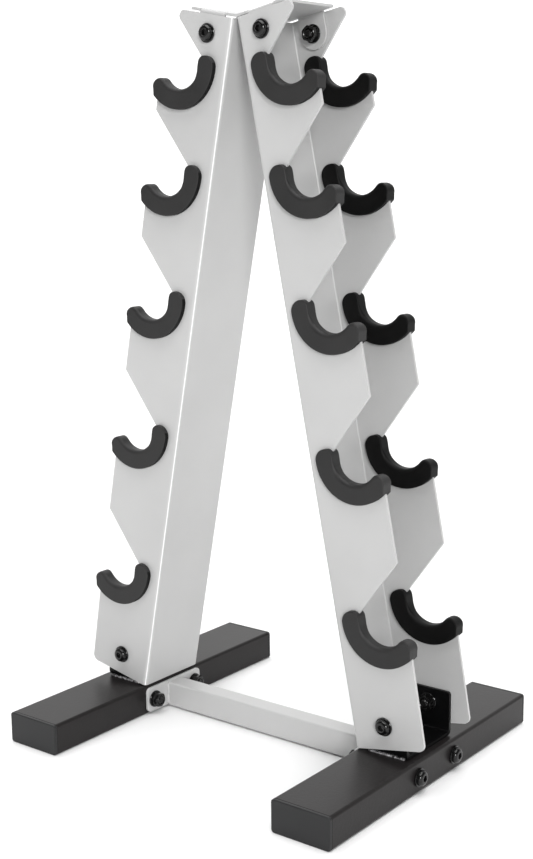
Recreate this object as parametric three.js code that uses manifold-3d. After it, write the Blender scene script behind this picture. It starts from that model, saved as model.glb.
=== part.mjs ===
// A two-sided dumbbell rack for ten small dumbbells, in millimetres, +Z up.
// Two folded sheet-metal uprights lean together over a pair of tube feet. A crossbar ties the
// feet and a V-bent bracket ties the tops. Each flange carries a row of moulded cradles.
// The origin is on the floor at the middle of the rack; X runs across the feet and Y along them.
import * as THREE from "three";
import { mergeVertices } from "three/addons/utils/BufferGeometryUtils.js";
import Module from "manifold-3d";

// Gap left between pieces that rest on, or pass through, one another.
const clearance = 0.3;
// How far a cutting outline runs past what it cuts.
const cutMargin = 1;

// Feet: rectangular tubes that run front to back, with a plastic cap in each end.
const footSpacing = 315;
const footWidth = 60;
const footHeight = 30;
const footTubeLength = 324;
const footWall = 2;
const footCorner = 3;
const capHeadThickness = 3;
const capPlugDepth = 12;
const capPlugWall = 2.5;
const capPlugCorner = 1;

// Uprights: folded channels whose webs face each other and whose flanges point outwards.
const uprightLength = 650;
const uprightWidth = 80;
const flangeDepth = 75;
const sheet = 2.5;
const bendRadius = 4;
const topGap = 4;
const uprightLift = 0.5;
const topEdgeSetback = 6.5;
const topCornerRadius = 5;
const bottomCornerRadius = 6;

// Cradles: moulded rubber liners that grip the flange edge at each notch. The pitches grow
// downwards because the larger dumbbells are stored lower.
const topCradleDrop = 46;
const cradlePitches = [96.5, 117, 131, 144.5];
const cradleInset = 23.6;
const cradleBoreRadius = 22.5;
const cradleWall = 18;
const cradleBase = 4.5;
const cradleLip = 4.75;
const cradleEndOverhang = 2.5;
const cradleTipHeight = 11.7;
const cradleTipRadius = 11;
const cradleHeelRadius = 2;
const outerTipRadius = 7.6;
const outerTipAngle = THREE.MathUtils.degToRad(-48);
const outerTipEndAngle = THREE.MathUtils.degToRad(-25);

// Teeth of the flange between the cradles: each one slopes in to the mouth of a notch.
const toothRise = 51.5;
const mouthDrop = 2;
const mouthInset = 0.6;
const hornMargin = 1.5;
const hornAngle = THREE.MathUtils.degToRad(-44);

// Foot brackets: U-shaped straps, welded on the feet, whose ears stand inside the flanges.
const footBracketWidth = 44;
const footBracketHeight = 41;
const footBracketThickness = 3;
const footBracketBend = 5;
const footBracketCorner = 3;
const lowerBoltRise = 28;

// Top bracket: two wings folded in a shallow V, each with two ears turned down.
const topBracketThickness = 2.5;
const topBracketReach = 50;
const topBracketGap = 1.2;
const topEarRadius = 14;
const topBoltDrop = 16;
const topBoltDepth = 25.5;

// Crossbar: a rectangular tube with a welded plate at each end, bolted through the feet.
const crossbarHeight = 25;
const crossbarDepth = 20;
const crossbarWall = 1.5;
const crossbarCorner = 2;
const crossbarDrop = 1;
const plateLength = 80;
const plateHeight = 25;
const plateThickness = 3;
const plateCorner = 5;
const footBoltSpacing = 60;

// M8 button-head bolts and hexagon nuts, each with a plain washer.
const boltRadius = 4;
const headRadius = 7;
const headHeight = 4.4;
const headRim = 1.1;
const washerRadius = 8.4;
const washerThickness = 1.6;
const nutAcrossFlats = 13;
const nutHeight = 6.5;
const boltTail = 2;

// Worked out from the sizes above.
const holeRadius = boltRadius + clearance;
const webFootX = footSpacing / 2 - footWidth / 2;
const lean = Math.asin((webFootX - topGap / 2) / uprightLength);
const uprightBase = footHeight + uprightLift;
const flangeInnerY = uprightWidth / 2 - sheet;
const topEdgeDepth = flangeDepth - topEdgeSetback;
const cradleDepth = flangeDepth - cradleInset;
const cradleOuterRadius = cradleBoreRadius + cradleWall;
const notchRadius = cradleBoreRadius + cradleBase + clearance;
const mouthDepth = cradleDepth - cradleBoreRadius + mouthInset;
const mouthRise = cradleTipHeight - mouthDrop;
const hornDrop = cradleBoreRadius + hornMargin;
const cradleThickness = sheet + 2 * clearance + 2 * cradleLip;
const boltHeightOnFoot = footHeight / 2;
const lowerBolt = intoUpright(footSpacing / 2, footHeight + lowerBoltRise);
const topBolt = new THREE.Vector2(topBoltDepth, uprightLength - topBoltDrop);
const cradleHeights = cradlePitches.reduce(
  (heights, pitch) => [...heights, heights.at(-1) - pitch],
  [uprightLength - topCradleDrop],
);

const wasm = await Module();
wasm.setup();

const framePaint = new THREE.MeshStandardMaterial({ color: 0xcfcfcd, roughness: 0.45, metalness: 0.1 });
const blackPaint = new THREE.MeshStandardMaterial({ color: 0x1d1c1c, roughness: 0.5, metalness: 0.1 });
const cradleRubber = new THREE.MeshStandardMaterial({ color: 0x242424, roughness: 0.6, metalness: 0 });
const capPlastic = new THREE.MeshStandardMaterial({ color: 0x1b1c1e, roughness: 0.4, metalness: 0 });
const blackSteel = new THREE.MeshStandardMaterial({ color: 0x0c0c0c, roughness: 0.25, metalness: 0.6 });

const rack = new THREE.Group();

// ---- outlines and solids ----

// A point (x, z) of the right half of the rack, in the frame of the leaning upright: how far it
// lies outside the web's outer face, and how far up the upright.
function intoUpright(x, z) {
  const across = x - webFootX;
  const up = z - uprightBase;
  return new THREE.Vector2(
    across * Math.cos(lean) + up * Math.sin(lean),
    up * Math.cos(lean) - across * Math.sin(lean),
  );
}

// The reverse: a point of the leaning upright's frame as (x, z) of the right half of the rack.
function outOfUpright(across, up) {
  return new THREE.Vector2(
    webFootX + across * Math.cos(lean) - up * Math.sin(lean),
    uprightBase + across * Math.sin(lean) + up * Math.cos(lean),
  );
}

// Points along an arc, both ends included; angles are in radians and may run either way.
function arc(centreX, centreY, radius, from, to, steps) {
  return Array.from({ length: steps + 1 }, (_, i) => {
    const angle = from + ((to - from) * i) / steps;
    return new THREE.Vector2(centreX + radius * Math.cos(angle), centreY + radius * Math.sin(angle));
  });
}

// A rectangle with round corners, centred on (0, centreY).
function roundedRectangle(width, height, radius, centreY = 0, steps = 3) {
  const x = width / 2 - radius;
  const y = height / 2 - radius;
  const corners = [[x, -y], [x, y], [-x, y], [-x, -y]];
  return corners.flatMap(([cx, cy], i) =>
    arc(cx, centreY + cy, radius, ((i - 1) * Math.PI) / 2, (i * Math.PI) / 2, steps),
  );
}

// Which way an outline's own x, its own y and its depth point when it is extruded along an axis.
const X = new THREE.Vector3(1, 0, 0);
const Y = new THREE.Vector3(0, 1, 0);
const Z = new THREE.Vector3(0, 0, 1);
const extrusionFrames = {
  x: new THREE.Matrix4().makeBasis(Y, Z, X),
  y: new THREE.Matrix4().makeBasis(X, Z, Y.clone().negate()),
  z: new THREE.Matrix4().makeBasis(X, Y, Z),
};

// A prism of an outline between two places on an axis. Along x the outline is drawn in (y, z),
// along y in (x, z), and along z in (x, y).
function prism(axis, points, from, to, holes = []) {
  const shape = new THREE.Shape(points);
  shape.holes = holes.map((hole) => new THREE.Path(hole));
  const geometry = new THREE.ExtrudeGeometry(shape, { depth: to - from, bevelEnabled: false });
  geometry.applyMatrix4(extrusionFrames[axis]);
  const start = axis === "y" ? to : from;
  const shift = { x: X, y: Y, z: Z }[axis].clone().multiplyScalar(start);
  return geometry.translate(shift.x, shift.y, shift.z);
}

// A round bar along an axis, for holes and shanks; the centre is given as for prism.
function bar(axis, centre, radius, from, to, steps = 14) {
  return prism(axis, arc(centre.x, centre.y, radius, 0, 2 * Math.PI, steps).slice(1), from, to);
}

function toSolid(geometry) {
  const bare = new THREE.BufferGeometry();
  const flat = geometry.index ? geometry.toNonIndexed() : geometry;
  bare.setAttribute("position", flat.getAttribute("position"));
  const merged = mergeVertices(bare, 1e-4);
  return new wasm.Manifold(
    new wasm.Mesh({
      numProp: 3,
      vertProperties: merged.getAttribute("position").array,
      triVerts: new Uint32Array(merged.index.array),
    }),
  );
}

function toGeometry(solid) {
  const mesh = solid.getMesh();
  const geometry = new THREE.BufferGeometry();
  geometry.setAttribute("position", new THREE.BufferAttribute(new Float32Array(mesh.vertProperties), 3));
  geometry.setIndex(new THREE.BufferAttribute(new Uint32Array(mesh.triVerts), 1));
  geometry.computeVertexNormals();
  return geometry;
}

function join(...geometries) {
  return toGeometry(geometries.map(toSolid).reduce((all, next) => all.add(next)));
}

function cut(geometry, ...tools) {
  return toGeometry(tools.map(toSolid).reduce((left, tool) => left.subtract(tool), toSolid(geometry)));
}

function overlapOf(first, second) {
  return toGeometry(toSolid(first).intersect(toSolid(second)));
}

function addPiece(parent, name, geometry, material) {
  const mesh = new THREE.Mesh(geometry, material);
  mesh.name = name;
  parent.add(mesh);
  return mesh;
}

// ---- the flange edge and its cradles, in the frame of the leaning upright ----

// The flange edge past one cradle, walked upwards: the horn inside the cradle's outer tip, the
// round notch, and the slope out to the tooth above. gap grows the sheet, to cut a cradle's slot.
function notchEdge(height, toothDepth, toothHeight, gap = 0) {
  const radius = notchRadius - gap;
  const slope = (toothHeight - height - mouthRise) / (toothDepth - mouthDepth);
  const sideX = cradleDepth - radius;
  const slopeShift = gap * Math.hypot(1, slope);
  const slopeAt = (depth) => height + mouthRise + slope * (depth - mouthDepth) - slopeShift;
  return [
    new THREE.Vector2(flangeDepth + gap, height - hornDrop + gap),
    ...arc(cradleDepth, height, radius, hornAngle + gap / radius, -Math.PI, 8),
    new THREE.Vector2(sideX, slopeAt(sideX)),
    new THREE.Vector2(toothDepth + gap, slopeAt(toothDepth + gap)),
  ];
}

function toothAbove(index) {
  return index === 0
    ? { depth: topEdgeDepth, height: uprightLength }
    : { depth: flangeDepth, height: cradleHeights[index] + toothRise };
}

function flangeOutline() {
  const corner = bottomCornerRadius;
  const points = [new THREE.Vector2(-cutMargin, 0)];
  points.push(...arc(flangeDepth - corner, corner, corner, -Math.PI / 2, 0, 4));
  for (let i = cradleHeights.length - 1; i >= 0; i--) {
    const tooth = toothAbove(i);
    points.push(...notchEdge(cradleHeights[i], tooth.depth, tooth.height));
  }
  points.pop();
  const top = toothAbove(0);
  const slopeAngle = Math.atan2(top.height - cradleHeights[0] - mouthRise, top.depth - mouthDepth);
  const reach = topCornerRadius / Math.tan(slopeAngle / 2);
  const centreX = top.depth - reach;
  const start = slopeAngle - Math.PI / 2;
  points.push(...arc(centreX, top.height - topCornerRadius, topCornerRadius, start, Math.PI / 2, 4));
  points.push(new THREE.Vector2(-cutMargin, uprightLength));
  return points;
}

function channelSection() {
  const side = uprightWidth / 2;
  const inner = bendRadius - sheet;
  const bend = (sign, radius, from, to) =>
    arc(bendRadius, sign * (side - bendRadius), radius, from, to, 4);
  return [
    new THREE.Vector2(flangeDepth, -side + sheet),
    ...bend(-1, inner, -Math.PI / 2, -Math.PI),
    ...bend(1, inner, Math.PI, Math.PI / 2),
    new THREE.Vector2(flangeDepth, side - sheet),
    new THREE.Vector2(flangeDepth, side),
    ...bend(1, bendRadius, Math.PI / 2, Math.PI),
    ...bend(-1, bendRadius, -Math.PI, -Math.PI / 2),
    new THREE.Vector2(flangeDepth, -side),
  ];
}

function uprightGeometry() {
  const channel = prism("z", channelSection(), 0, uprightLength);
  const flanges = prism("y", flangeOutline(), -uprightWidth, uprightWidth);
  const holes = [lowerBolt, topBolt].map((at) =>
    bar("y", at, holeRadius, -uprightWidth, uprightWidth),
  );
  return cut(overlapOf(channel, flanges), ...holes);
}

// A cradle is drawn round the centre of its bore, then slotted to grip the sheet.
function cradleOutline() {
  const endX = flangeDepth + cradleEndOverhang - cradleDepth;
  const endAngle = -Math.acos(endX / cradleOuterRadius);
  const tipCentreRadius = cradleBoreRadius + outerTipRadius;
  const tipX = tipCentreRadius * Math.cos(outerTipAngle);
  const tipY = tipCentreRadius * Math.sin(outerTipAngle);
  const innerX = -cradleOuterRadius + cradleTipRadius;
  const heelX = -cradleBoreRadius - cradleHeelRadius;
  const heelY = cradleTipHeight - cradleHeelRadius;
  return [
    ...arc(0, 0, cradleOuterRadius, endAngle, -Math.PI, 9),
    ...arc(innerX, cradleTipHeight - cradleTipRadius, cradleTipRadius, Math.PI, Math.PI / 2, 3),
    ...arc(heelX, heelY, cradleHeelRadius, Math.PI / 2, 0, 1),
    ...arc(0, 0, cradleBoreRadius, -Math.PI, outerTipAngle, 8),
    ...arc(tipX, tipY, outerTipRadius, outerTipAngle + Math.PI, outerTipEndAngle, 4).slice(1),
  ].reverse();
}

function cradleGeometry(index) {
  const height = cradleHeights[index];
  const tooth = toothAbove(index);
  const lowest = height - 2 * cradleOuterRadius;
  const body = prism("y", cradleOutline(), -cradleThickness / 2, cradleThickness / 2);
  body.translate(cradleDepth, 0, height);
  const edge = notchEdge(height, tooth.depth, tooth.height, clearance);
  const grip = [
    new THREE.Vector2(0, lowest),
    new THREE.Vector2(flangeDepth + clearance, lowest),
    ...edge,
    new THREE.Vector2(0, edge.at(-1).y),
  ];
  const halfSlot = sheet / 2 + clearance;
  return cut(body, prism("y", grip, -halfSlot, halfSlot));
}

// ---- fasteners, drawn along their own axis with the seat at zero and the head below it ----

function boltGeometry(gripLength) {
  const tail = gripLength + nutHeight + washerThickness + boltTail;
  const crown = arc(0, 0, 1, 0, Math.PI / 2, 3).slice(0, -1).reverse();
  const crownBase = -washerThickness - headRim;
  const crownHeight = headHeight - headRim;
  const profile = [
    new THREE.Vector2(0, crownBase - crownHeight),
    ...crown.map((p) => new THREE.Vector2(headRadius * p.x, crownBase - crownHeight * p.y)),
    new THREE.Vector2(headRadius, -washerThickness),
    new THREE.Vector2(washerRadius, -washerThickness),
    new THREE.Vector2(washerRadius, 0),
    new THREE.Vector2(boltRadius, 0),
    new THREE.Vector2(boltRadius, tail),
    new THREE.Vector2(0, tail),
  ];
  return new THREE.LatheGeometry(profile, 14);
}

function nutGeometry() {
  const corner = nutAcrossFlats / 2 / Math.cos(Math.PI / 6);
  const centre = new THREE.Vector2(0, 0);
  const end = nutHeight + washerThickness;
  const hexagon = prism("y", arc(0, 0, corner, 0, 2 * Math.PI, 6).slice(1), 0, end);
  const washer = bar("y", centre, washerRadius, 0, washerThickness);
  const bore = bar("y", centre, holeRadius, -cutMargin, end + cutMargin);
  return cut(join(hexagon, washer), bore);
}

const nutShape = nutGeometry();

// A bolt and its nut, in a holder whose own +Y runs from the bolt's seat to the nut.
function addFastener(parent, name, gripLength, place) {
  const holder = new THREE.Group();
  place(holder);
  const head = addPiece(holder, name + "_bolt", boltGeometry(gripLength + 2 * clearance), blackSteel);
  head.position.y = -clearance;
  const nut = addPiece(holder, name + "_nut", nutShape, blackSteel);
  nut.position.y = gripLength + clearance;
  parent.add(holder);
}

// ---- feet, caps, brackets and crossbar ----

function footGeometry() {
  const outside = roundedRectangle(footWidth, footHeight, footCorner, footHeight / 2);
  const inside = roundedRectangle(
    footWidth - 2 * footWall, footHeight - 2 * footWall, footCorner - footWall, footHeight / 2,
  );
  const tube = prism("y", outside, -footTubeLength / 2, footTubeLength / 2, [inside]);
  const holes = [-1, 1].map((side) => {
    const centre = new THREE.Vector2((side * footBoltSpacing) / 2, boltHeightOnFoot);
    return bar("x", centre, holeRadius, -footWidth, footWidth);
  });
  return cut(tube, ...holes);
}

// The head covers the tube's end and the hollow plug goes inside it.
function capGeometry() {
  const plugWidth = footWidth - 2 * (footWall + clearance);
  const plugHeight = footHeight - 2 * (footWall + clearance);
  const middle = footHeight / 2;
  const headOutside = roundedRectangle(footWidth, footHeight, footCorner, middle);
  const plugOutside = roundedRectangle(plugWidth, plugHeight, capPlugCorner, middle);
  const plugInside = roundedRectangle(
    plugWidth - 2 * capPlugWall, plugHeight - 2 * capPlugWall, capPlugCorner, middle,
  );
  const head = prism("y", headOutside, -capHeadThickness, 0);
  const plug = prism("y", plugOutside, -capHeadThickness / 2, capPlugDepth, [plugInside]);
  return join(head, plug);
}

// Both ears and the base are one strap; it is drawn in (y, z) and stands on the foot.
function footBracketGeometry() {
  const side = flangeInnerY - clearance;
  const base = footHeight + clearance;
  const top = footHeight + footBracketHeight;
  const thickness = footBracketThickness;
  const bendCentre = side - footBracketBend;
  const bend = (sign, radius, from, to) =>
    arc(sign * bendCentre, base + footBracketBend, radius, from, to, 4);
  const inner = footBracketBend - thickness;
  const strap = prism("x", [
    new THREE.Vector2(side, top),
    new THREE.Vector2(side - thickness, top),
    ...bend(1, inner, 0, -Math.PI / 2),
    ...bend(-1, inner, -Math.PI / 2, -Math.PI),
    new THREE.Vector2(-side + thickness, top),
    new THREE.Vector2(-side, top),
    ...bend(-1, footBracketBend, -Math.PI, -Math.PI / 2),
    ...bend(1, footBracketBend, -Math.PI / 2, 0),
  ], -footBracketWidth / 2, footBracketWidth / 2);
  const half = footBracketWidth / 2;
  const corner = footBracketCorner;
  const earOutline = prism("y", [
    new THREE.Vector2(-half, 0),
    new THREE.Vector2(half, 0),
    ...arc(half - corner, top - corner, corner, 0, Math.PI / 2, 3),
    ...arc(-half + corner, top - corner, corner, Math.PI / 2, Math.PI, 3),
  ], -uprightWidth, uprightWidth);
  const boltCentre = new THREE.Vector2(0, footHeight + lowerBoltRise);
  const hole = bar("y", boltCentre, holeRadius, -uprightWidth, uprightWidth);
  return cut(overlapOf(strap, earOutline), hole);
}

function plateGeometry() {
  const outline = roundedRectangle(plateLength, plateHeight, plateCorner, boltHeightOnFoot);
  const holes = [-1, 1].map((side) =>
    arc((side * footBoltSpacing) / 2, boltHeightOnFoot, holeRadius, 0, 2 * Math.PI, 14).slice(1),
  );
  return prism("x", outline, -plateThickness, 0, holes);
}

function crossbarGeometry() {
  const middle = boltHeightOnFoot - crossbarDrop;
  const half = webFootX - clearance - plateThickness - clearance;
  const outside = roundedRectangle(crossbarDepth, crossbarHeight, crossbarCorner, middle);
  const insideDepth = crossbarDepth - 2 * crossbarWall;
  const insideHeight = crossbarHeight - 2 * crossbarWall;
  const inside = roundedRectangle(insideDepth, insideHeight, crossbarCorner - crossbarWall, middle, 1);
  return prism("x", outside, -half, half, [inside]);
}

// ---- top bracket ----

function topBracketGeometry() {
  const under = uprightLength + topBracketGap;
  const over = under + topBracketThickness;
  const outerLow = outOfUpright(topBracketReach, under);
  const outerHigh = outOfUpright(topBracketReach, over);
  const valley = (up) => {
    const rim = outOfUpright(0, up);
    return rim.y - rim.x * Math.tan(lean);
  };
  const side = flangeInnerY - clearance;
  const wings = prism("y", [
    new THREE.Vector2(0, valley(under)),
    outerLow,
    outerHigh,
    new THREE.Vector2(0, valley(over)),
    new THREE.Vector2(-outerHigh.x, outerHigh.y),
    new THREE.Vector2(-outerLow.x, outerLow.y),
  ], -side, side);
  const earOutline = [
    ...arc(topBolt.x, topBolt.y, topEarRadius, -Math.PI, 0, 8),
    new THREE.Vector2(topBolt.x + topEarRadius, under + topBracketThickness / 2),
    new THREE.Vector2(topBolt.x - topEarRadius, under + topBracketThickness / 2),
  ].map((p) => outOfUpright(p.x, p.y));
  const bolt = outOfUpright(topBolt.x, topBolt.y);
  const mirrored = (points) => points.map((p) => new THREE.Vector2(-p.x, p.y)).reverse();
  const ears = [earOutline, mirrored(earOutline)].flatMap((outline) => [
    prism("y", outline, -side, -side + topBracketThickness),
    prism("y", outline, side - topBracketThickness, side),
  ]);
  const holes = [1, -1].map((sign) =>
    bar("y", new THREE.Vector2(sign * bolt.x, bolt.y), holeRadius, -uprightWidth, uprightWidth),
  );
  return cut(join(wings, ...ears), ...holes);
}

// ---- assembly ----

const uprightShape = uprightGeometry();
const footShape = footGeometry();
const capShape = capGeometry();
const footBracketShape = footBracketGeometry();
const plateShape = plateGeometry();
const cradleShapes = cradleHeights.map((_, i) => cradleGeometry(i));

// One half of the rack is drawn on the +X side. The left half is the same half turned about Z,
// so its front is the drawn half's rear.
function addSide(side) {
  const half = new THREE.Group();
  half.rotation.z = side === "left" ? Math.PI : 0;
  const frontSign = side === "left" ? 1 : -1;
  const ends = [["front", frontSign], ["rear", -frontSign]];
  rack.add(half);

  const leaning = new THREE.Group();
  leaning.position.set(webFootX, 0, uprightBase);
  leaning.rotation.y = -lean;
  half.add(leaning);
  addPiece(leaning, side + "_upright", uprightShape, framePaint);

  const onFoot = new THREE.Group();
  onFoot.position.x = footSpacing / 2;
  half.add(onFoot);
  addPiece(onFoot, side + "_foot", footShape, blackPaint);
  addPiece(onFoot, side + "_foot_bracket", footBracketShape, blackPaint);

  const plate = addPiece(half, side + "_crossbar_plate", plateShape, framePaint);
  plate.position.x = webFootX - clearance;

  for (const [end, sign] of ends) {
    const gripY = sign * (uprightWidth / 2 - sheet / 2);
    cradleShapes.forEach((shape, i) => {
      const cradle = addPiece(leaning, `${side}_${end}_cradle_${i + 1}`, shape, cradleRubber);
      cradle.position.y = gripY;
    });

    const cap = addPiece(onFoot, `${side}_${end}_foot_cap`, capShape, capPlastic);
    cap.position.y = sign * (footTubeLength / 2 + clearance);
    cap.rotation.z = sign > 0 ? Math.PI : 0;

    const earGrip = (thickness) => sheet + clearance + thickness;
    addFastener(leaning, `${side}_${end}_upper`, earGrip(topBracketThickness), (holder) => {
      holder.position.set(topBolt.x, (sign * uprightWidth) / 2, topBolt.y);
      holder.rotation.z = sign > 0 ? Math.PI : 0;
    });
    addFastener(onFoot, `${side}_${end}_lower`, earGrip(footBracketThickness), (holder) => {
      holder.position.set(0, (sign * uprightWidth) / 2, footHeight + lowerBoltRise);
      holder.rotation.z = sign > 0 ? Math.PI : 0;
    });
    const footGrip = footWidth + clearance + plateThickness;
    addFastener(onFoot, `${side}_${end}_crossbar`, footGrip, (holder) => {
      holder.position.set(footWidth / 2, (sign * footBoltSpacing) / 2, boltHeightOnFoot);
      holder.rotation.z = Math.PI / 2;
    });
  }
}

addSide("left");
addSide("right");
addPiece(rack, "crossbar", crossbarGeometry(), framePaint);
addPiece(rack, "top_bracket", topBracketGeometry(), framePaint);

export default rack;
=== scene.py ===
import math

import bmesh
import bpy
from mathutils import Matrix, Vector, noise


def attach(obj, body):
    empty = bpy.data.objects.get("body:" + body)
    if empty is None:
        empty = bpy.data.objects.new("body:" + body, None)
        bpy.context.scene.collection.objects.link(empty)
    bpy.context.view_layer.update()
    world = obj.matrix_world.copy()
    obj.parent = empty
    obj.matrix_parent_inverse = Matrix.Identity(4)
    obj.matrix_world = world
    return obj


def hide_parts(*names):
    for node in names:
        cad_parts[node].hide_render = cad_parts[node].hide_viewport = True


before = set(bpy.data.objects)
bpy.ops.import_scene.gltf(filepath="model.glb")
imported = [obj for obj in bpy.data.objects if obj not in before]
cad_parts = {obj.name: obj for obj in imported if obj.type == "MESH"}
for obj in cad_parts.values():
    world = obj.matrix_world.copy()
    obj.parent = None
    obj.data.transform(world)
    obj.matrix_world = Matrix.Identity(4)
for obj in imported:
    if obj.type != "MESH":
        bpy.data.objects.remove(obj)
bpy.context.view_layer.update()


# ---- Uprights ----
# Two channels of 2.5 mm sheet steel, cut with five notches in each flange, folded to a tight
# radius and powder coated light grey. They lean together, webs inwards, and bolt at top and foot.
MM = 0.001
# Pieces that touch in life stand this far apart, so that each stays its own solid.
clearance = 0.3
bolt_hole_radius = 4.3

foot_spacing = 315
foot_width = 60
foot_height = 30
upright_length = 650
upright_width = 80
flange_depth = 75
sheet = 2.5
upright_bend = 4
foot_gap = 0.5
half_gap_at_top = 2
upright_foot_x = foot_spacing / 2 - foot_width / 2
upright_foot_z = foot_height + foot_gap
lean = math.asin((upright_foot_x - half_gap_at_top) / upright_length)

# A cradle's bore takes a dumbbell's handle. Depths run outwards from the upright's web, and
# heights up along it.
bore_radius = 22.5
bore_inset = 23.6
cradle_depth = flange_depth - bore_inset
cradle_heights = [604, 507.5, 390.5, 259.5, 115]

# A notch's seat is an arc round the bore. It ends below at a horn near the flange's edge, and
# above at its mouth, from which a slope runs out to the tooth.
notch_radius = bore_radius + 4.8
mouth_depth = cradle_depth - bore_radius + 0.6
mouth_rise = 9.7
horn_drop = bore_radius + 1.5
horn_angle = math.radians(-44)
tooth_rise = 51.5
top_edge_depth = flange_depth - 6.5

foot_corner_set_back = 2
foot_corner_radius = 6
top_corner_radius = 5
tooth_radius = 1.4
horn_radius = 0.8
upright_edge = 0.55


def arc(cx, cy, radius, start, end, steps):
    """Points along an arc, both ends included; the angles are in radians."""
    turns = [start + (end - start) * i / steps for i in range(steps + 1)]
    return [Vector((cx + radius * math.cos(a), cy + radius * math.sin(a))) for a in turns]


def full_circle(cx, cy, radius, steps):
    return arc(cx, cy, radius, 0, math.tau, steps)[1:]


def soften(points, radii):
    """Rounds the corners of an outline: radii maps the index of a point to its radius."""
    steps = 5
    softened = []
    for i, corner in enumerate(points):
        radius = radii.get(i)
        if not radius:
            softened.append(corner)
            continue
        before = (points[i - 1] - corner).normalized()
        after = (points[(i + 1) % len(points)] - corner).normalized()
        half = before.angle(after) / 2
        middle = corner + (before + after).normalized() * radius / math.sin(half)
        first = corner + before * radius / math.tan(half) - middle
        last = corner + after * radius / math.tan(half) - middle
        for k in range(steps + 1):
            softened.append(middle + first.lerp(last, k / steps).normalized() * radius)
    return softened


def tooth_above(i):
    """The depth and height of the corner that ends the slope above cradle i."""
    if i == 0:
        return top_edge_depth, upright_length
    return flange_depth, cradle_heights[i] + tooth_rise


def notch_edge(i, gap=0.0):
    """The flange edge past cradle i, walked upwards; gap grows the sheet, to cut a cradle's slot."""
    height = cradle_heights[i]
    tooth_depth, tooth_height = tooth_above(i)
    radius = notch_radius - gap
    slope = (tooth_height - height - mouth_rise) / (tooth_depth - mouth_depth)
    shift = gap * math.hypot(1, slope)

    def slope_at(depth):
        return height + mouth_rise + slope * (depth - mouth_depth) - shift

    side = cradle_depth - radius
    return [
        Vector((flange_depth + gap, height - horn_drop + gap)),
        *arc(cradle_depth, height, radius, horn_angle + gap / radius, -math.pi, 20),
        Vector((side, slope_at(side))),
        Vector((tooth_depth + gap, slope_at(tooth_depth + gap))),
    ]


def flange_outline():
    """The flange from its bend to its cut edge, as (depth, height), with small radii at the teeth."""
    points = [Vector((upright_bend, 0)), Vector((flange_depth - foot_corner_set_back, 0))]
    radii = {1: foot_corner_radius}
    for i in reversed(range(len(cradle_heights))):
        edge = notch_edge(i)
        radii[len(points)] = horn_radius
        radii[len(points) + len(edge) - 1] = tooth_radius if i else top_corner_radius
        points += edge
    points.append(Vector((upright_bend, upright_length)))
    return soften(points, radii)


def add_object(name, mesh, placing=Matrix.Identity(4)):
    made = bpy.data.objects.new(name, mesh)
    bpy.context.scene.collection.objects.link(made)
    made.matrix_world = placing
    return made


def to_mesh(name, bm, material):
    """Turns a bmesh drawn in millimetres into a smooth-shaded mesh in metres."""
    bmesh.ops.scale(bm, vec=(MM, MM, MM), verts=bm.verts)
    mesh = bpy.data.meshes.new(name)
    bm.to_mesh(mesh)
    bm.free()
    mesh.polygons.foreach_set("use_smooth", [True] * len(mesh.polygons))
    mesh.materials.append(material)
    return mesh


def fill_flat(bm, loops):
    """Fills the flat region between an outer loop of vertices and the loops of its holes."""
    edges = []
    for loop in loops:
        for a, b in zip(loop, loop[1:] + loop[:1]):
            edges.append(bm.edges.get((a, b)) or bm.edges.new((a, b)))
    bmesh.ops.triangle_fill(bm, use_beauty=True, edges=edges)


def thicken(made, thickness, edge):
    """Gives a folded surface its sheet thickness behind it, and rounds its cut edges."""
    solid = made.modifiers.new("sheet thickness", "SOLIDIFY")
    solid.thickness = thickness * MM
    solid.offset = -1
    solid.use_even_offset = True
    solid.use_quality_normals = True
    roll = made.modifiers.new("rounded edges", "BEVEL")
    roll.width = edge * MM
    roll.segments = 3
    roll.limit_method = "ANGLE"
    roll.angle_limit = math.radians(40)
    weigh(made)


def weigh(made):
    """Keeps the flat faces looking flat beside rounded edges."""
    normals = made.modifiers.new("flat faces stay flat", "WEIGHTED_NORMAL")
    normals.weight = 100
    normals.keep_sharp = True


def fit(made, node):
    """Attaches a piece to the rack's body and hides the frame's solid that it stands for."""
    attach(made, "root")
    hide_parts(node)


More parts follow.
